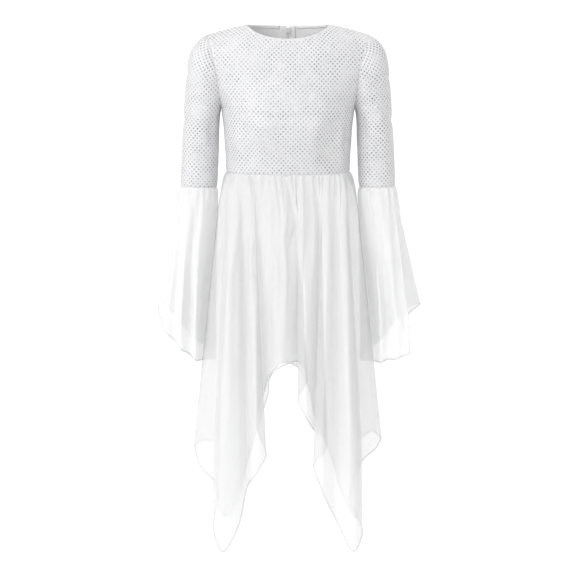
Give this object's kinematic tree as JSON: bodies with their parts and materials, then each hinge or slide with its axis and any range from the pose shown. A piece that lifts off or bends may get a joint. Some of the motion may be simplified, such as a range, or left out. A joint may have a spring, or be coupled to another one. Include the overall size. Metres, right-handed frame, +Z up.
{
  "type": "praise dance tunic",
  "caption": "Hollow long-sleeved dance tunic with a sequinned bodice, chiffon sleeve flounces and a gathered handkerchief-hem skirt.",
  "frame": {"origin": "midway between the shoulder seams, at the height of their middles", "axes": "+Z up, -Y out of the tunic's front, +X towards the wearer's left"},
  "size_m": [0.6312, 0.2792, 1.2379],
  "materials": {
    "sequinned_cloth": "white stretch knit with small silver dots",
    "chiffon": "sheer white chiffon with a soft sheen",
    "zip_tape": "woven white tape",
    "zip_enamel": "white enamel"
  },
  "bodies": {
    "tunic": {"bodice_front": "sequinned_cloth", "bodice_back_left": "sequinned_cloth", "bodice_back_right": "sequinned_cloth", "sleeve_left": "sequinned_cloth", "sleeve_right": "sequinned_cloth", "flounce_left": "chiffon", "flounce_right": "chiffon", "skirt_front": "chiffon", "skirt_back": "chiffon", "neck_hem_front": "sequinned_cloth", "neck_hem_back_left": "sequinned_cloth", "neck_hem_back_right": "sequinned_cloth", "zip_tape_left": "zip_tape", "zip_tape_right": "zip_tape", "zip_slider": "zip_enamel"},
    "pull_tab": {"zip_pull_tab": "zip_enamel"}
  },
  "joints": [
    {"name": "pull_tab_hinge", "type": "hinge", "parent": "tunic", "child": "pull_tab", "pos_m": [0, 0.07157, 0.00229], "axis": [1, 0, 0], "range_deg": [0, 150]}
  ]
}
